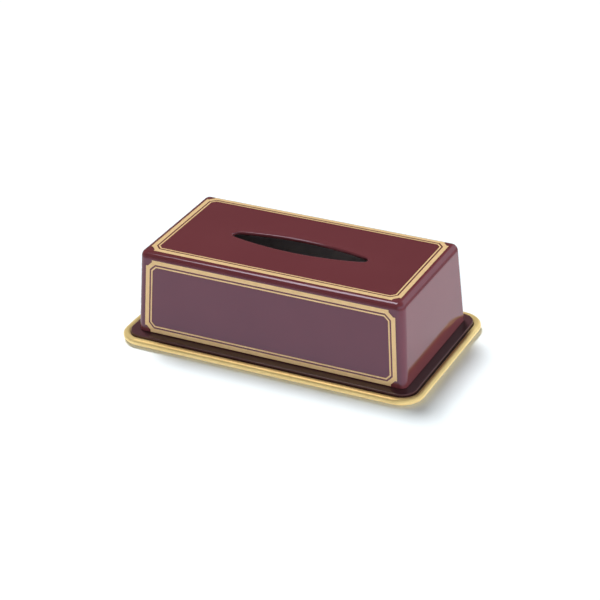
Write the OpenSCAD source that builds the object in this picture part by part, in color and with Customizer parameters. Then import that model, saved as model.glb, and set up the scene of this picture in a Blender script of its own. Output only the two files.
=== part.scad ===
// Tissue box: a tapered moulded cover with gold frame lines, lifted off a low base tray
// that has a round gold rim. Millimetres. +X is the long way, -Y is the front, +Z is up.
// The origin is on the surface that the feet stand on, under the middle of the tray.

/* [Cover] */
// Length of the cover at its foot
cover_l = 260; // [240:1:300]
// Width of the cover at its foot
cover_w = 134; // [120:1:160]
// Height of the cover from its foot to its top
cover_h = 78; // [60:1:110]
// Wall thickness of the cover
wall = 2.8; // [2:0.1:4]
// Lean of the front and rear walls, in degrees
side_draft = 4; // [1:0.1:6]
// Lean of the two end walls, in degrees
end_draft = 3.1; // [1:0.1:6]
// Radius of the rounded top edges
top_r = 6.8; // [5:0.1:12]
// Radius of the upright corners at the foot
corner_r = 6; // [5:0.1:10]
// Small bevel round the outside of the foot
foot_bevel = 0.6; // [0.3:0.1:1]

/* [Tissue slot] */
// Length of the slot in the top
slot_l = 132; // [100:1:160]
// Width of the slot at its middle
slot_w = 25; // [18:0.5:32]
// Radius of the slot's two tips
slot_tip_r = 5; // [3:0.1:7]
// Radius of the rounded lip round the slot
slot_lip_r = 1.2; // [0.6:0.1:1.6]

/* [Gold frames] */
// Width of the broad outer line
band_w = 3.8; // [3:0.1:6]
// Width of the thin inner line
pin_w = 1.3; // [1:0.1:2.5]
// Bare gap between the broad and the thin line
line_gap = 1.5; // [0.6:0.1:2]
// Size of the cut corner of the broad line
notch = 5.8; // [5:0.1:9]
// Length of the square shoulder at each end of the cut corner
shoulder = 1.8; // [1:0.1:3]
// Size of the plain chamfer along the inside of the broad line
inner_chamfer = 5.2; // [4:0.1:8]
// Thickness of the gold line over the surface
foil_t = 0.15; // [0.1:0.01:0.3]
// From the top's front and rear edges to the frame
top_margin_side = 4.7; // [4:0.1:12]
// From the top's two end edges to the frame
top_margin_end = 6.3; // [4:0.1:12]
// From the front face's upright edges to the frame
face_margin_side = 7.4; // [6:0.1:14]
// From the front face's top edge to the frame
face_margin_top = 7.1; // [5:0.1:14]
// From the foot to the lower line of the front frame
face_margin_foot = 1; // [0.8:0.1:10]

/* [Tray] */
// Height of the flat seat that the cover stands on
seat_h = 9; // [7:0.1:14]
// Width of the seat outside the cover
seat_margin = 8.3; // [6:0.1:9]
// Radius of the seat's rounded edge
seat_edge_r = 0.8; // [0.4:0.1:1.5]
// Gap between the underside of the tray and the table
tray_lift = 1; // [0.5:0.1:2]
// Height of the rib that keeps the cover in place
rib_h = 3.5; // [2:0.1:5]
// Thickness of that rib
rib_w = 2.2; // [1.5:0.1:3]
// Clearance between that rib and the cover's walls
rib_play = 0.8; // [0.4:0.1:1.5]
// Radius of the rib's outer corners
rib_corner_r = 6; // [5:0.1:10]

/* [Rim] */
// Diameter of the round gold rim
rim_d = 6.6; // [5:0.1:7]
// Gap between the side of the seat and the rim
rim_play = 0.4; // [0.3:0.1:1.5]
// Gap between the rim and the table
rim_lift = 1.1; // [0.8:0.1:1.6]
// Thickness of the tray's edge, which the rim is pushed on to
tongue_t = 2.4; // [1.5:0.1:3]
// Clearance round that edge inside the rim
tongue_play = 0.1; // [0.05:0.01:0.2]

/* [Base plate and feet] */
// Thickness of the plate that closes the underside
plate_t = 2; // [1.5:0.1:3]
// From the cover's foot line inwards to the plate's edge
plate_inset = 4; // [2:0.5:12]
// Radius of the plate's corners
plate_corner_r = 4; // [2:0.5:10]
// Clearance round the plate
plate_play = 0.3; // [0.1:0.05:0.5]
// Diameter of a rubber foot
foot_d = 16; // [10:0.5:20]
// Depth that a foot is sunk into the plate
foot_sink = 1; // [0.5:0.1:1.2]
// From the cover's foot line inwards to the middle of a foot
foot_inset = 24; // [16:1:40]
// Diameter of the stem that holds a foot
stem_d = 5; // [3:0.1:7]
// Length of that stem
stem_l = 2.6; // [2:0.1:4]
// Clearance round a foot and its stem
foot_play = 0.1; // [0.05:0.01:0.3]

/* [Hidden] */

// Facets round a full turn of the cover's smooth corners, and of plain round pieces
form_facets = 36;
round_facets = 96;
// Steps round each tip of the slot, along each of its long arcs, and over its rounded lip
tip_steps = 14;
side_steps = 20;
lip_steps = 4;
// Share of the lip's last step by which the slot runs on past the top
lip_overrun = 0.5;
// Overlap of shapes that are joined, and overshoot of cuts past the faces they open
eps = 0.01;
overshoot = 1;

maroon = [0.42, 0.22, 0.24];
gold = [0.87, 0.74, 0.5];
tray_dark = [0.2, 0.14, 0.16];
rubber_black = [0.1, 0.1, 0.1];

top_z = seat_h + cover_h;
half_l = cover_l / 2;
half_w = cover_w / 2;

// Half size of the sharp-edged taper at height z over the foot
function end_at(z) = half_l - z * tan(end_draft);
function side_at(z) = half_w - z * tan(side_draft);

// ---- shared shapes ----

// Copies children to the four corners of a rectangle
module at_corners(x, y, z = 0) {
    for (sx = [-1, 1], sy = [-1, 1])
        translate([sx * x, sy * y, z]) children();
}

// Flat rectangle with true round corners
module rounded_rect(x, y, r) {
    square([2 * (x - r), 2 * y], center = true);
    square([2 * x, 2 * (y - r)], center = true);
    at_corners(x - r, y - r) circle(r, $fn = round_facets);
}

// Sweeps a flat section round a rectangle whose corners turn about the points at half
// distances x and y. The section's x runs outwards from there, and its y runs up.
module swept_loop(x, y) {
    for (side = [0:3]) {
        across = side % 2 == 0 ? x : y;
        along = side % 2 == 0 ? y : x;
        rotate([0, 0, 90 * side])
            translate([across, along, 0]) {
                rotate_extrude(angle = 90, $fn = round_facets) children();
                rotate([90, 0, 0])
                    linear_extrude(2 * along) children();
            }
    }
}

// The cover's foot outline, grown outwards by d
module foot_outline(d) {
    rounded_rect(half_l + d, half_w + d, corner_r + d);
}

// Sweeps a flat section round the cover's foot outline
module foot_loop() {
    swept_loop(half_l - corner_r, half_w - corner_r) children();
}

// ---- cover ----

// Upper half of a ball, with its pole and equator on true radius
module half_ball(r) {
    steps = form_facets / 4;
    rotate_extrude($fn = form_facets)
        polygon(concat([[0, 0]], [for (i = [0:steps]) r * [cos(90 * i / steps), sin(90 * i / steps)]]));
}

// The tapered, rounded form of the cover, grown by grow and reaching down to foot_z
module cover_form(grow = 0, foot_z = 0) {
    ball_z = cover_h - top_r;
    bevel_z = foot_z + foot_bevel;
    translate([0, 0, seat_h])
        hull() {
            at_corners(
                end_at(ball_z) - top_r / cos(end_draft),
                side_at(ball_z) - top_r / cos(side_draft),
                ball_z
            ) half_ball(top_r + grow);
            at_corners(end_at(bevel_z) - corner_r, side_at(bevel_z) - corner_r, foot_z)
                cylinder(
                    h = foot_bevel,
                    r1 = corner_r + grow - foot_bevel,
                    r2 = corner_r + grow,
                    $fn = form_facets
                );
        }
}

// Points along an arc, without its last one
function arc(centre, r, from, to, steps) = [
    for (i = [0:steps - 1])
        let (a = from + (to - from) * i / steps) centre + r * [cos(a), sin(a)]
];

// Ring of points round the tissue slot, grown outwards by grow, at height z. The slot has
// two long arcs that run smoothly into two round tips.
function slot_ring(grow, z) =
    let (
        tip_x = slot_l / 2 - slot_tip_r,
        half = slot_w / 2,
        side_r = (tip_x ^ 2 + half ^ 2 - slot_tip_r ^ 2) / (2 * (half - slot_tip_r)),
        side_y = side_r - half,
        turn = atan2(side_y, tip_x),
        flat = concat(
            arc([tip_x, 0], slot_tip_r + grow, -turn, turn, tip_steps),
            arc([0, -side_y], side_r + grow, turn, 180 - turn, side_steps),
            arc([-tip_x, 0], slot_tip_r + grow, 180 - turn, 180 + turn, tip_steps),
            arc([0, side_y], side_r + grow, 180 + turn, 360 - turn, side_steps)
        )
    )
    [for (p = flat) [p[0], p[1], z]];

// Closed solid through a stack of rings with equal numbers of points
module ring_stack(rings) {
    n = len(rings[0]);
    last = len(rings) - 1;
    polyhedron(
        points = [for (ring = rings) each ring],
        faces = concat(
            [[for (i = [0:n - 1]) i]],
            [
                for (k = [0:last - 1], i = [0:n - 1])
                    let (j = (i + 1) % n)
                    each [
                        [k * n + i, (k + 1) * n + i, (k + 1) * n + j],
                        [k * n + i, (k + 1) * n + j, k * n + j]
                    ]
            ],
            [[for (i = [n - 1:-1:0]) last * n + i]]
        )
    );
}

// Outward growth and height of the lip's quarter round, from a = 0 at its foot to 90
function lip_point(a) = [slot_lip_r * (1 - cos(a)), top_z - slot_lip_r * (1 - sin(a))];

// The slot through the top, with a quarter-round lip whose last step runs on past the top
module slot_cut() {
    lip = [for (i = [0:lip_steps - 1]) lip_point(90 * i / lip_steps)];
    past = lip_point(90) + lip_overrun * (lip_point(90) - lip[lip_steps - 1]);
    ring_stack([
        slot_ring(0, top_z - 2 * wall),
        for (p = concat(lip, [past])) slot_ring(p[0], p[1])
    ]);
}

module cover_shell() {
    color(maroon)
        difference() {
            cover_form();
            cover_form(grow = -wall, foot_z = -2 * foot_bevel);
            slot_cut();
        }
}

// ---- gold frames ----

// Frame outlines are drawn with v up from the lower line. Their half width runs evenly
// from low at v = 0 to high at v = h, so that they can follow the cover's taper.
function half_at(low, high, h, v) = low + (high - low) * v / h;

// Adds the mirrored left side to a list of points that runs up the right side
function both_sides(right) = concat(
    right,
    [for (i = [len(right) - 1:-1:0]) [-right[i][0], right[i][1]]]
);

// Outside of the broad line: each corner is cut off between two square shoulders
function notched_outline(low, high, h) =
    let (
        low_x = half_at(low, high, h, notch),
        high_x = half_at(low, high, h, h - notch)
    )
    both_sides([
        [low - notch, 0], [low - notch, shoulder], [low_x - shoulder, notch], [low_x, notch],
        [high_x, h - notch], [high_x - shoulder, h - notch], [high - notch, h - shoulder], [high - notch, h]
    ]);

// Outline set in by inset with plain chamfers, which keep even widths round the corners
function chamfered_outline(low, high, h, inset) =
    let (
        c = inner_chamfer - (inset - band_w) * (2 - sqrt(2)),
        low_x = half_at(low, high, h, inset) - inset,
        high_x = half_at(low, high, h, h - inset) - inset,
        low_c = half_at(low, high, h, inset + c) - inset,
        high_c = half_at(low, high, h, h - inset - c) - inset
    )
    both_sides([
        [low_x - c, inset], [low_c, inset + c], [high_c, h - inset - c], [high_x - c, h - inset]
    ]);

module broad_line(low, high, h) {
    difference() {
        polygon(notched_outline(low, high, h));
        polygon(chamfered_outline(low, high, h, band_w));
    }
}

module thin_line(low, high, h) {
    difference() {
        polygon(chamfered_outline(low, high, h, band_w + line_gap));
        polygon(chamfered_outline(low, high, h, band_w + line_gap + pin_w));
    }
}

// Reach of the prisms that cut a line out of the gold skin, to each side of the face
line_reach = 3;

// Keeps the part of the thin gold skin over the cover that lies in its children
module gold_skin() {
    color(gold)
        intersection() {
            children();
            difference() {
                cover_form(grow = foil_t);
                cover_form();
            }
        }
}

// Places a flat outline on the cover's top
module on_top() {
    translate([0, 0, top_z - line_reach])
        linear_extrude(2 * line_reach) children();
}

// Places a flat outline on the leaning front face, with v up from the foot
module on_front() {
    translate([0, -half_w, seat_h])
        rotate([90 - side_draft, 0, 0])
            translate([0, 0, -line_reach])
                linear_extrude(2 * line_reach) children();
}

frame_top_x = end_at(cover_h) - top_margin_end;
frame_top_y = side_at(cover_h) - top_margin_side;
frame_face_h = (cover_h - face_margin_top - face_margin_foot) / cos(side_draft);
frame_face_low = end_at(face_margin_foot) - face_margin_side;
frame_face_high = end_at(cover_h - face_margin_top) - face_margin_side;

module top_band() {
    gold_skin() on_top()
        translate([0, -frame_top_y]) broad_line(frame_top_x, frame_top_x, 2 * frame_top_y);
}

module top_pinstripe() {
    gold_skin() on_top()
        translate([0, -frame_top_y]) thin_line(frame_top_x, frame_top_x, 2 * frame_top_y);
}

module front_band() {
    gold_skin() on_front()
        translate([0, face_margin_foot]) broad_line(frame_face_low, frame_face_high, frame_face_h);
}

module front_pinstripe() {
    gold_skin() on_front()
        translate([0, face_margin_foot]) thin_line(frame_face_low, frame_face_high, frame_face_h);
}

module rear_band() {
    mirror([0, 1, 0]) front_band();
}

module rear_pinstripe() {
    mirror([0, 1, 0]) front_pinstripe();
}

// ---- tray ----

// Height of the ceiling that the base plate lies against
plate_top = tray_lift + plate_t;
// Height of the face that a foot is pressed against
foot_top = tray_lift + foot_sink;
// Distance of the middle of the rim from the cover's foot
rim_out = seat_margin + rim_play + rim_d / 2;
rim_z = rim_lift + rim_d / 2;
// Half size of the locating rib's outside
rib_inset = wall + rib_play + rib_h * tan(max(end_draft, side_draft));
rib_x = half_l - rib_inset;
rib_y = half_w - rib_inset;
foot_x = half_l - foot_inset;
foot_y = half_w - foot_inset;

// Rib that stands just inside the cover's walls, with a half-round top
module locating_rib() {
    translate([0, 0, seat_h - eps])
        swept_loop(rib_x - rib_corner_r, rib_y - rib_corner_r)
            translate([rib_corner_r - rib_w, 0]) {
                square([rib_w, rib_h - rib_w / 2 + eps]);
                translate([rib_w / 2, rib_h - rib_w / 2 + eps]) circle(d = rib_w, $fn = round_facets);
            }
}

// Slab that the cover stands on, with a rounded top edge
module seat_slab() {
    reach = corner_r + seat_margin;
    slab_h = seat_h - tray_lift;
    translate([0, 0, tray_lift]) {
        linear_extrude(slab_h) foot_outline(0);
        foot_loop() {
            square([reach - seat_edge_r, slab_h]);
            square([reach, slab_h - seat_edge_r]);
            translate([reach - seat_edge_r, slab_h - seat_edge_r])
                circle(seat_edge_r, $fn = round_facets);
        }
    }
}

// Outline of the base plate, grown outwards by d
module plate_outline(d) {
    rounded_rect(half_l - plate_inset + d, half_w - plate_inset + d, plate_corner_r + d);
}

module tray_body() {
    color(tray_dark)
        difference() {
            union() {
                seat_slab();
                translate([0, 0, rim_z - tongue_t / 2])
                    linear_extrude(tongue_t) foot_outline(rim_out);
                locating_rib();
            }
            translate([0, 0, tray_lift - overshoot])
                linear_extrude(plate_t + overshoot) plate_outline(plate_play);
            at_corners(foot_x, foot_y, plate_top - overshoot)
                cylinder(
                    h = foot_top + stem_l + foot_play - plate_top + overshoot,
                    d = stem_d + 2 * foot_play,
                    $fn = round_facets
                );
        }
}

module rim_bead() {
    color(gold)
        difference() {
            translate([0, 0, rim_z])
                foot_loop() translate([corner_r + rim_out, 0]) circle(d = rim_d, $fn = round_facets);
            translate([0, 0, rim_z - tongue_t / 2])
                linear_extrude(tongue_t + tongue_play) foot_outline(rim_out + tongue_play);
        }
}

module base_plate() {
    color(tray_dark)
        difference() {
            translate([0, 0, tray_lift])
                linear_extrude(plate_t) plate_outline(0);
            at_corners(foot_x, foot_y, tray_lift - overshoot)
                cylinder(h = foot_sink + overshoot, d = foot_d + 2 * foot_play, $fn = round_facets);
            at_corners(foot_x, foot_y, tray_lift - overshoot)
                cylinder(h = plate_t + 2 * overshoot, d = stem_d + 2 * foot_play, $fn = round_facets);
        }
}

// Turned rubber foot: a pad with a bevelled tread, and a stem pushed up into the tray
module rubber_foot(sx, sy) {
    tread_bevel = foot_top / 4;
    color(rubber_black)
        translate([sx * foot_x, sy * foot_y, 0])
            rotate_extrude($fn = round_facets)
                polygon([
                    [0, 0],
                    [foot_d / 2 - tread_bevel, 0],
                    [foot_d / 2, tread_bevel],
                    [foot_d / 2, foot_top],
                    [stem_d / 2, foot_top],
                    [stem_d / 2, foot_top + stem_l],
                    [0, foot_top + stem_l]
                ]);
}

cover_shell();
top_band();
top_pinstripe();
front_band();
front_pinstripe();
rear_band();
rear_pinstripe();
tray_body();
rim_bead();
base_plate();
rubber_foot(-1, -1);  // foot_front_left
rubber_foot(1, -1);  // foot_front_right
rubber_foot(-1, 1);  // foot_rear_left
rubber_foot(1, 1);  // foot_rear_right
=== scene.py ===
import math

import bmesh
import bpy
from mathutils import Matrix, Vector


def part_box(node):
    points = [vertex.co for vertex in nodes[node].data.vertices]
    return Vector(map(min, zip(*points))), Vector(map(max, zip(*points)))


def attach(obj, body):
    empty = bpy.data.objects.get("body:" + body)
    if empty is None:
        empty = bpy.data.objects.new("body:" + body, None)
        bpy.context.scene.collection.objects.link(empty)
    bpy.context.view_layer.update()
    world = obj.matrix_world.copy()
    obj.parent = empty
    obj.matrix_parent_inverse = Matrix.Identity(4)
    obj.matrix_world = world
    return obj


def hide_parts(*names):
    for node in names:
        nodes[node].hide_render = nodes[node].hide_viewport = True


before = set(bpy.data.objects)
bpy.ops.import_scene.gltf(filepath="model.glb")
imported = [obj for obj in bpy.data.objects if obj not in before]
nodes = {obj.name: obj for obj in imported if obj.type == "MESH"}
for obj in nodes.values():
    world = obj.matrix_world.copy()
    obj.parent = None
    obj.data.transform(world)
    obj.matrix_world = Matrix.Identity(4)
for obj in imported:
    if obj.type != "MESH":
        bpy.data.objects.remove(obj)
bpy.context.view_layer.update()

MM = 0.001


def mm(value):
    return value * MM


# ---- sizes in metres: heights and the rim from the CAD boxes, the rest as in part.scad ----

shell_low, shell_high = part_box("cover_shell")
bead_low, bead_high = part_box("rim_bead")
FOOT_Z = shell_low.z
TOP_Z = shell_high.z
HALF_L = mm(130)
HALF_W = mm(67)
WALL = mm(2.8)
SIDE_SLOPE = math.tan(math.radians(4))
END_SLOPE = math.tan(math.radians(3.1))
TOP_R = mm(6.8)
CORNER_R = mm(6)
FOOT_BEVEL = mm(0.6)
# The hollow's form starts this far below the cover's foot
HOLLOW_FOOT_Z = mm(-1.2)
SLOT_HALF_L = mm(66)
SLOT_HALF_W = mm(12.5)
SLOT_TIP_R = mm(5)
# The slot's lip has the solid's outer edge, and a larger radius that runs further in
SLOT_LIP_R = mm(2.0)
SLOT_LIP_OUT = mm(1.2)
BEAD_R = (bead_high.z - bead_low.z) / 2
BEAD_BEND_R = CORNER_R + (bead_high.x - HALF_L) - BEAD_R
# The lining lies just inside the tray's rib
LINING_HALF_L = mm(123.9)
LINING_HALF_W = mm(60.9)

CORNER_STEPS = 14
EDGE_STEPS = 12
BEAD_STEPS = 40
LIP_STEPS = 8
SLOT_TIP_STEPS = 24
SLOT_SIDE_STEPS = 32
# Heights of the rings up the leaning walls, as shares of their height
WALL_SHARES = (0.02, 0.35, 0.7, 0.98)
# Corner radius of the cover's innermost ring, which would otherwise be nought
SMALLEST_R = mm(0.02)
# Vertices closer than this are joined
WELD = mm(0.002)
SHARP_ANGLE = 35.0
FOIL_SHARP_ANGLE = 40.0
SHADING_WEIGHT = 80


# ---- mesh helpers ----


def new_object(name, bm, finish, body, stands_for, sharp_angle=SHARP_ANGLE):
    """Turns a bmesh into a smooth-shaded piece that rides on a body in place of its CAD node."""
    bmesh.ops.recalc_face_normals(bm, faces=bm.faces)
    mesh = bpy.data.meshes.new(name)
    bm.to_mesh(mesh)
    bm.free()
    for polygon in mesh.polygons:
        polygon.use_smooth = True
    mesh.set_sharp_from_angle(angle=math.radians(sharp_angle))
    mesh.materials.append(finish)
    obj = bpy.data.objects.new(name, mesh)
    bpy.context.scene.collection.objects.link(obj)
    weighted = obj.modifiers.new("even_shading", "WEIGHTED_NORMAL")
    weighted.mode = "FACE_AREA_WITH_ANGLE"
    weighted.keep_sharp = True
    weighted.weight = SHADING_WEIGHT
    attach(obj, body)
    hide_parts(stands_for)
    return obj


def corner_ring(half_x, half_y, radius, z):
    """Closed ring of points round a rectangle with round corners, the same count for any radius."""
    ring = []
    for sx, sy, start in ((1, 1, 0), (-1, 1, 90), (-1, -1, 180), (1, -1, 270)):
        for i in range(CORNER_STEPS + 1):
            a = math.radians(start + 90 * i / CORNER_STEPS)
            ring.append(
                Vector((
                    sx * (half_x - radius) + radius * math.cos(a),
                    sy * (half_y - radius) + radius * math.sin(a),
                    z,
                ))
            )
    return ring


def loft(bm, rings, closed=False):
    """Adds bands of quads from ring to ring, closed if the last one joins the first.

    The rings have equal length. Returns their vertices.
    """
    loops = [[bm.verts.new(p) for p in ring] for ring in rings]
    following = loops[1:] + loops[:1] if closed else loops[1:]
    for low, high in zip(loops, following):
        count = len(low)
        for i in range(count):
            j = (i + 1) % count
            bm.faces.new((low[i], low[j], high[j], high[i]))
    return loops


def plate_with_hole(bm, outer, hole):
    """Fills the flat face between an outer loop and a hole."""
    edges = []
    for loop in (outer, hole):
        for i in range(len(loop)):
            pair = (loop[i], loop[(i + 1) % len(loop)])
            edges.append(bm.edges.get(pair) or bm.edges.new(pair))
    bmesh.ops.triangle_fill(bm, edges=edges, use_beauty=True, use_dissolve=False)


def arc_points(cx, cy, radius, start, end, steps):
    """Points along an arc from start towards end, in degrees, without its last point."""
    return [
        (
            cx + radius * math.cos(math.radians(start + (end - start) * i / steps)),
            cy + radius * math.sin(math.radians(start + (end - start) * i / steps)),
        )
        for i in range(steps)
    ]


def slot_ring(grow, z):
    """Ring round the tissue slot: two long arcs that run into two round tips."""
    tip_x = SLOT_HALF_L - SLOT_TIP_R
    side_r = (tip_x**2 + SLOT_HALF_W**2 - SLOT_TIP_R**2) / (2 * (SLOT_HALF_W - SLOT_TIP_R))
    side_y = side_r - SLOT_HALF_W
    turn = math.degrees(math.atan2(side_y, tip_x))
    flat = (
        arc_points(tip_x, 0, SLOT_TIP_R + grow, -turn, turn, SLOT_TIP_STEPS)
        + arc_points(0, -side_y, side_r + grow, turn, 180 - turn, SLOT_SIDE_STEPS)
        + arc_points(-tip_x, 0, SLOT_TIP_R + grow, 180 - turn, 180 + turn, SLOT_TIP_STEPS)
        + arc_points(0, side_y, side_r + grow, 180 + turn, 360 - turn, SLOT_SIDE_STEPS)
    )
    return [Vector((x, y, z)) for x, y in flat]


# ---- node helpers ----


def linked(tree, kind, *sources, **values):
    """Adds a node, links its first inputs to the sources and sets its named inputs."""
    node = tree.nodes.new(kind)
    for i, source in enumerate(sources):
        if source is not None:
            tree.links.new(source, node.inputs[i])
    for name, value in values.items():
        node.inputs[name].default_value = value
    return node


def maths(tree, operation, *sources):
    """Adds a Math node, links it to its sources and returns its result."""
    node = linked(tree, "ShaderNodeMath", *sources)
    node.operation = operation
    return node.outputs[0]


def ramp(tree, source, stops):
    """Colour ramp over a value, given as pairs of position and colour."""
    node = linked(tree, "ShaderNodeValToRGB", source)
    points = node.color_ramp.elements
    while len(points) < len(stops):
        points.new(0.5)
    for point, (position, colour) in zip(points, stops):
        point.position = position
        point.color = (*colour, 1)
    return node.outputs["Color"]


def grey_ramp(tree, source, stops):
    """Ramp over a value, given as pairs of position and brightness."""
    return ramp(tree, source, [(position, (level, level, level)) for position, level in stops])


# ---- materials ----

BUMP_DETAIL = 2.0
TONE_DETAIL = 3.0
ROUGHNESS_DETAIL = 4.0
# Values of the noise at which the two tones are reached
TONE_STOPS = (0.35, 0.65)


def new_material(name):
    finish = bpy.data.materials.new(name)
    finish.use_nodes = True
    tree = finish.node_tree
    return finish, tree, tree.nodes["Principled BSDF"]


def object_noise(tree, scale, detail):
    """Noise over the place on the object."""
    place = tree.nodes.new("ShaderNodeTexCoord")
    noise = linked(tree, "ShaderNodeTexNoise", place.outputs["Object"], Scale=scale, Detail=detail)
    return noise.outputs["Fac"]


def dress(
    tree, shader, tones, tone_scale, roughness, roughness_scale, bump_scale, bump_strength, bump_depth
):
    """Gives a shader a colour that drifts between two tones, uneven roughness and a fine bump."""
    colour = ramp(tree, object_noise(tree, tone_scale, TONE_DETAIL), list(zip(TONE_STOPS, tones)))
    tree.links.new(colour, shader.inputs["Base Color"])

    low, high = roughness
    uneven = object_noise(tree, roughness_scale, ROUGHNESS_DETAIL)
    spread = linked(tree, "ShaderNodeMapRange", uneven, **{"To Min": low, "To Max": high})
    tree.links.new(spread.outputs["Result"], shader.inputs["Roughness"])

    bump = linked(tree, "ShaderNodeBump", Strength=bump_strength, Distance=bump_depth)
    tree.links.new(object_noise(tree, bump_scale, BUMP_DETAIL), bump.inputs["Height"])
    tree.links.new(bump.outputs["Normal"], shader.inputs["Normal"])


def inside_band(tree, source, half):
    """One where a coordinate lies within half of the middle, nought beyond it."""
    within = linked(tree, "ShaderNodeMath", maths(tree, "ABSOLUTE", source))
    within.operation = "LESS_THAN"
    within.inputs[1].default_value = half
    return within.outputs[0]


def add_lining(tree, gloss):
    """Covers the tray's floor inside the rib, which the cover hides, with a matt lining."""
    position = tree.nodes.new("ShaderNodeTexCoord")
    split = linked(tree, "ShaderNodeSeparateXYZ", position.outputs["Object"])
    inside = maths(
        tree,
        "MULTIPLY",
        inside_band(tree, split.outputs["X"], LINING_HALF_L),
        inside_band(tree, split.outputs["Y"], LINING_HALF_W),
    )
    felt = tree.nodes.new("ShaderNodeBsdfPrincipled")
    dress(
        tree, felt,
        tones=((0.46, 0.44, 0.44), (0.52, 0.50, 0.50)), tone_scale=300,
        roughness=(0.85, 0.95), roughness_scale=200,
        bump_scale=2500, bump_strength=0.4, bump_depth=mm(0.2),
    )
    mix = linked(tree, "ShaderNodeMixShader", inside, gloss.outputs[0], felt.outputs[0])
    tree.links.new(mix.outputs[0], tree.nodes["Material Output"].inputs["Surface"])


maroon, tree, shader = new_material("maroon_lacquer")
dress(
    tree, shader,
    tones=((0.150, 0.035, 0.041), (0.158, 0.038, 0.044)), tone_scale=14,
    roughness=(0.05, 0.08), roughness_scale=60,
    bump_scale=45, bump_strength=0.03, bump_depth=mm(0.4),
)
shader.inputs["IOR"].default_value = 1.72
shader.inputs["Specular Tint"].default_value = (0.56, 0.67, 0.97, 1)

cover_inside, tree, shader = new_material("cover_inside")
dress(
    tree, shader,
    tones=((0.63, 0.60, 0.61), (0.69, 0.66, 0.67)), tone_scale=60,
    roughness=(0.7, 0.85), roughness_scale=200,
    bump_scale=1800, bump_strength=0.25, bump_depth=mm(0.1),
)

gold_line, tree, shader = new_material("gold_foil")
dress(
    tree, shader,
    tones=((0.88, 0.62, 0.31), (0.94, 0.67, 0.35)), tone_scale=260,
    roughness=(0.40, 0.50), roughness_scale=180,
    bump_scale=900, bump_strength=0.15, bump_depth=mm(0.1),
)
shader.inputs["Metallic"].default_value = 0.2

gold_rim, tree, shader = new_material("gold_rim")
dress(
    tree, shader,
    tones=((0.94, 0.715, 0.30), (0.99, 0.77, 0.34)), tone_scale=40,
    roughness=(0.33, 0.40), roughness_scale=90,
    bump_scale=300, bump_strength=0.05, bump_depth=mm(0.1),
)
shader.inputs["Metallic"].default_value = 0.4

tray_dark, tree, shader = new_material("tray_gloss")
dress(
    tree, shader,
    tones=((0.082, 0.035, 0.041), (0.090, 0.039, 0.045)), tone_scale=20,
    roughness=(0.12, 0.2), roughness_scale=80,
    bump_scale=60, bump_strength=0.03, bump_depth=mm(0.3),
)
shader.inputs["IOR"].default_value = 1.5
add_lining(tree, shader)

base_matt, tree, shader = new_material("base_matt")
dress(
    tree, shader,
    tones=((0.016, 0.012, 0.012), (0.026, 0.020, 0.020)), tone_scale=120,
    roughness=(0.5, 0.65), roughness_scale=200,
    bump_scale=1400, bump_strength=0.3, bump_depth=mm(0.1),
)

rubber, tree, shader = new_material("foot_rubber")
dress(
    tree, shader,
    tones=((0.010, 0.010, 0.010), (0.020, 0.020, 0.020)), tone_scale=400,
    roughness=(0.6, 0.8), roughness_scale=300,
    bump_scale=2500, bump_strength=0.3, bump_depth=mm(0.1),
)


# ---- cover ----


def end_at(z):
    return HALF_L - z * END_SLOPE


def side_at(z):
    return HALF_W - z * SIDE_SLOPE


def cover_rings(grow, foot_z):
    """Rings up the tapered form, from its bevelled foot to the flat of its top."""
    ball_z = TOP_Z - FOOT_Z - TOP_R
    centre_x = end_at(ball_z) - TOP_R / math.cos(math.atan(END_SLOPE))
    centre_y = side_at(ball_z) - TOP_R / math.cos(math.atan(SIDE_SLOPE))
    bevel_z = foot_z + FOOT_BEVEL
    foot_x = end_at(bevel_z)
    foot_y = side_at(bevel_z)
    rings = []
    for z, inset in ((foot_z, FOOT_BEVEL), (bevel_z, 0.0)):
        out = grow - inset
        rings.append(corner_ring(foot_x + out, foot_y + out, CORNER_R + out, FOOT_Z + z))
    ball_r = TOP_R + grow
    for share in WALL_SHARES:
        z = bevel_z + (ball_z - bevel_z) * share
        radius = CORNER_R + grow + (ball_r - CORNER_R - grow) * share
        half_x = foot_x + grow + (centre_x + ball_r - foot_x - grow) * share
        half_y = foot_y + grow + (centre_y + ball_r - foot_y - grow) * share
        rings.append(corner_ring(half_x, half_y, radius, FOOT_Z + z))
    for i in range(EDGE_STEPS + 1):
        a = math.radians(90 * i / EDGE_STEPS)
        level = max(ball_r * math.cos(a), SMALLEST_R)
        rings.append(
            corner_ring(centre_x + level, centre_y + level, level, FOOT_Z + ball_z + ball_r * math.sin(a))
        )
    return rings


def lip_rings():
    """Rings up the slot's wall from the ceiling of the hollow and over its quarter-round lip."""
    rings = [slot_ring(SLOT_LIP_OUT - SLOT_LIP_R, TOP_Z - WALL)]
    for i in range(LIP_STEPS + 1):
        a = math.radians(90 * i / LIP_STEPS)
        grow = SLOT_LIP_OUT - SLOT_LIP_R * math.cos(a)
        rings.append(slot_ring(grow, TOP_Z - SLOT_LIP_R * (1 - math.sin(a))))
    return rings


def build_cover():
    bm = bmesh.new()
    outer = loft(bm, cover_rings(0.0, 0.0))
    # The hollow has no bevel: its first two rings are left out, and the next is moved to the foot
    inner = loft(bm, cover_rings(-WALL, HOLLOW_FOOT_Z)[2:])
    foot = inner[0]
    for v in foot:
        v.co.z = FOOT_Z
    count = len(foot)
    for i in range(count):
        j = (i + 1) % count
        bm.faces.new((outer[0][i], outer[0][j], foot[j], foot[i]))
    lip = loft(bm, lip_rings())
    plate_with_hole(bm, outer[-1], lip[-1])
    plate_with_hole(bm, inner[-1], lip[0])
    inside = {v for loop in inner + lip[:1] for v in loop}
    for face in bm.faces:
        face.material_index = 1 if all(v in inside for v in face.verts) else 0
    cover = new_object("cover", bm, maroon, "cover", "cover_shell")
    cover.data.materials.append(cover_inside)


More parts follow.
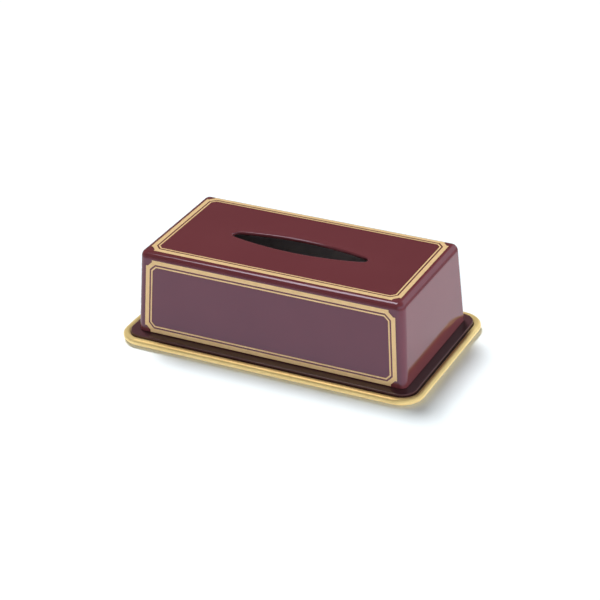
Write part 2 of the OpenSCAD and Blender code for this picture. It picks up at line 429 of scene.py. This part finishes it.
build_cover()


# ---- gold lines: the CAD skins, welded so that they shade smoothly ----


def build_foil(node):
    bm = bmesh.new()
    bm.from_mesh(nodes[node].data)
    bmesh.ops.remove_doubles(bm, verts=bm.verts, dist=WELD)
    new_object(node + "_foil", bm, gold_line, "cover", node, FOIL_SHARP_ANGLE)


for node in ("top_band", "top_pinstripe", "front_band", "front_pinstripe", "rear_band", "rear_pinstripe"):
    build_foil(node)


# ---- rim ----


def build_rim():
    bm = bmesh.new()
    centre_z = (bead_low.z + bead_high.z) / 2
    half_x = bead_high.x - BEAD_R
    half_y = bead_high.y - BEAD_R
    rings = []
    for i in range(BEAD_STEPS):
        a = math.radians(360 * i / BEAD_STEPS)
        out = BEAD_R * math.cos(a)
        rings.append(
            corner_ring(half_x + out, half_y + out, BEAD_BEND_R + out, centre_z + BEAD_R * math.sin(a))
        )
    loft(bm, rings, closed=True)
    new_object("rim", bm, gold_rim, "tray", "rim_bead")


build_rim()


# ---- the tray, the plate and the feet: the CAD nodes with their finishes ----

for node, finish in (
    ("tray_body", tray_dark),
    ("base_plate", base_matt),
    ("foot_front_left", rubber),
    ("foot_front_right", rubber),
    ("foot_rear_left", rubber),
    ("foot_rear_right", rubber),
):
    nodes[node].data.materials.clear()
    nodes[node].data.materials.append(finish)


# ---- floor ----

FLOOR_HALF = 6.0
# The camera sees a floor whose lit part is white and whose shadow is a bluish grey
SEEN_COLOUR = (0.90, 0.97, 1.0, 1)
SEEN_GLOW = 0.05
# Light bounces off it as off a pale grey floor
FLOOR_COLOUR = (0.8, 0.8, 0.8, 1)
# Reflections see it white as far as the first distance from the middle, and dim beyond the second
MIRRORED_NEAR = 0.33
MIRRORED_FAR = 0.45
MIRRORED_FAR_LEVEL = 0.25
# How much of what reflections see is lit by the lamps, so that it shows the shadow
MIRRORED_SHADE = 0.15

bm = bmesh.new()
bmesh.ops.create_grid(bm, x_segments=2, y_segments=2, size=FLOOR_HALF)
floor_mesh = bpy.data.meshes.new("floor")
bm.to_mesh(floor_mesh)
bm.free()
floor = bpy.data.objects.new("floor", floor_mesh)
bpy.context.scene.collection.objects.link(floor)

floor_finish = bpy.data.materials.new("floor")
floor_finish.use_nodes = True
tree = floor_finish.node_tree
tree.nodes.remove(tree.nodes["Principled BSDF"])
path = tree.nodes.new("ShaderNodeLightPath")
bounce = linked(tree, "ShaderNodeBsdfDiffuse", Color=FLOOR_COLOUR)
seen_lit = linked(tree, "ShaderNodeBsdfDiffuse", Color=SEEN_COLOUR)
seen_glow = linked(tree, "ShaderNodeEmission", Strength=SEEN_GLOW)
seen = linked(tree, "ShaderNodeAddShader", seen_lit.outputs[0], seen_glow.outputs[0])
place = tree.nodes.new("ShaderNodeNewGeometry")
distance = linked(tree, "ShaderNodeVectorMath", place.outputs["Position"])
distance.operation = "LENGTH"
falloff = linked(
    tree, "ShaderNodeMapRange", distance.outputs["Value"],
    **{
        "From Min": MIRRORED_NEAR, "From Max": MIRRORED_FAR,
        "To Min": 1.0, "To Max": MIRRORED_FAR_LEVEL,
    },
)
mirrored_plain = linked(tree, "ShaderNodeEmission", None, falloff.outputs["Result"])
mirrored_lit = linked(tree, "ShaderNodeBsdfDiffuse", falloff.outputs["Result"])
mirrored = linked(
    tree, "ShaderNodeMixShader", None, mirrored_plain.outputs[0], mirrored_lit.outputs[0],
    Fac=MIRRORED_SHADE,
)
reflect = linked(
    tree, "ShaderNodeMixShader", path.outputs["Is Glossy Ray"], bounce.outputs[0], mirrored.outputs[0]
)
looked_at = maths(tree, "MAXIMUM", path.outputs["Is Camera Ray"], path.outputs["Is Transmission Ray"])
final = linked(tree, "ShaderNodeMixShader", looked_at, reflect.outputs[0], seen.outputs[0])
tree.links.new(final.outputs[0], tree.nodes["Material Output"].inputs["Surface"])
floor_mesh.materials.append(floor_finish)


# ---- world ----

WHITE = (1, 1, 1, 1)
WORLD_LIGHT = 0.20
# What reflections see, by height: a dim horizon under a dark ceiling
CEILING_LEVELS = ((0.0, 0.25), (0.14, 0.25), (0.2, 0.05))
# A pale wall is added to it on the right: its brightness by height, and its share from left to right
WALL_LEVELS = ((0.1, 0.0), (0.2, 0.75), (0.6, 0.75), (0.65, 0.0))
WALL_SHARE = ((0.02, 0.0), (0.12, 1.0))

world = bpy.data.worlds.new("studio")
bpy.context.scene.world = world
world.use_nodes = True
tree = world.node_tree
tree.nodes.clear()
output = tree.nodes.new("ShaderNodeOutputWorld")
path = tree.nodes.new("ShaderNodeLightPath")
coords = tree.nodes.new("ShaderNodeTexCoord")
split = linked(tree, "ShaderNodeSeparateXYZ", coords.outputs["Generated"])
ceiling = grey_ramp(tree, split.outputs["Z"], CEILING_LEVELS)
wall_high = grey_ramp(tree, split.outputs["Z"], WALL_LEVELS)
wall_right = grey_ramp(tree, split.outputs["X"], WALL_SHARE)
wall = linked(tree, "ShaderNodeMixRGB", None, wall_high, wall_right, Fac=1.0)
wall.blend_type = "MULTIPLY"
room_colour = linked(tree, "ShaderNodeMixRGB", None, ceiling, wall.outputs["Color"], Fac=1.0)
room_colour.blend_type = "ADD"
plain = linked(tree, "ShaderNodeBackground", Color=WHITE, Strength=WORLD_LIGHT)
white = linked(tree, "ShaderNodeBackground", Color=WHITE, Strength=1.0)
room = linked(tree, "ShaderNodeBackground", room_colour.outputs["Color"], Strength=1.0)
reflect = linked(
    tree, "ShaderNodeMixShader", path.outputs["Is Glossy Ray"], plain.outputs[0], room.outputs[0]
)
looked_at = maths(tree, "MAXIMUM", path.outputs["Is Camera Ray"], path.outputs["Is Transmission Ray"])
final = linked(tree, "ShaderNodeMixShader", looked_at, reflect.outputs[0], white.outputs[0])
tree.links.new(final.outputs[0], output.inputs["Surface"])


# ---- lamps ----

SUN_DISTANCE = 2


def placed(place, across, above, back):
    """Matrix of an object at a place, with the directions of its three axes."""
    return Matrix.Translation(place) @ Matrix((across, above, back)).transposed().to_4x4()


def aim_lamp(name, data, place, upright=(0, 0, 1)):
    """Puts a lamp at a place, facing the object, with its height along upright."""
    lamp = bpy.data.objects.new(name, data)
    bpy.context.scene.collection.objects.link(lamp)
    back = Vector(place).normalized()
    across = Vector(upright).cross(back).normalized()
    lamp.matrix_world = placed(Vector(place), across, back.cross(across), back)
    return lamp


def strip_light(name, start, end, width, level, colour):
    """Long softbox between two points, with a surface brightness, that lights reflections only."""
    start, end = Vector(start), Vector(end)
    data = bpy.data.lights.new(name, "AREA")
    data.shape = "RECTANGLE"
    data.size = width
    data.size_y = (end - start).length
    data.energy = level * math.pi * data.size * data.size_y
    data.color = colour
    lamp = aim_lamp(name, data, (start + end) / 2, end - start)
    lamp.visible_diffuse = False


def far_light(name, direction, level, softness):
    """Distant lamp, unseen in reflections, that lights a white surface square to it to a level."""
    data = bpy.data.lights.new(name, "SUN")
    data.energy = level * math.pi
    data.angle = math.radians(softness)
    lamp = aim_lamp(name, data, Vector(direction) * SUN_DISTANCE)
    lamp.visible_glossy = False


strip_light(
    "strip_top", start=(-1.36, -1.48, 2.41), end=(-0.77, 0.06, 3.05), width=0.42, level=8.5,
    colour=(1.0, 0.80, 0.66),
)
far_light("key_rear_left", direction=(-0.38, 0.31, 0.875), level=0.98, softness=18)
far_light("fill_right", direction=(0.99, 0.10, 0.02), level=1.0, softness=10)
far_light("fill_front", direction=(-0.20, -0.95, 0.08), level=0.32, softness=20)


# ---- camera ----

CAMERA_EYE = Vector((0.70521, -1.36740, 0.87986))
CAMERA_AIM = Vector((-0.00108, 0.0, 0.03323))
CAMERA_ROLL = math.radians(-1.9513)
CAMERA_LENS = 119.03
CAMERA_SENSOR = 36

camera_data = bpy.data.cameras.new("camera")
camera_data.sensor_width = CAMERA_SENSOR
camera_data.lens = CAMERA_LENS
camera = bpy.data.objects.new("camera", camera_data)
bpy.context.scene.collection.objects.link(camera)
back = (CAMERA_EYE - CAMERA_AIM).normalized()
level = Vector((-back.y, back.x, 0)).normalized()
upright = back.cross(level)
right = level * math.cos(CAMERA_ROLL) + upright * math.sin(CAMERA_ROLL)
camera.matrix_world = placed(CAMERA_EYE, right, back.cross(right), back)
bpy.context.scene.camera = camera

bpy.context.scene.view_settings.view_transform = "Standard"
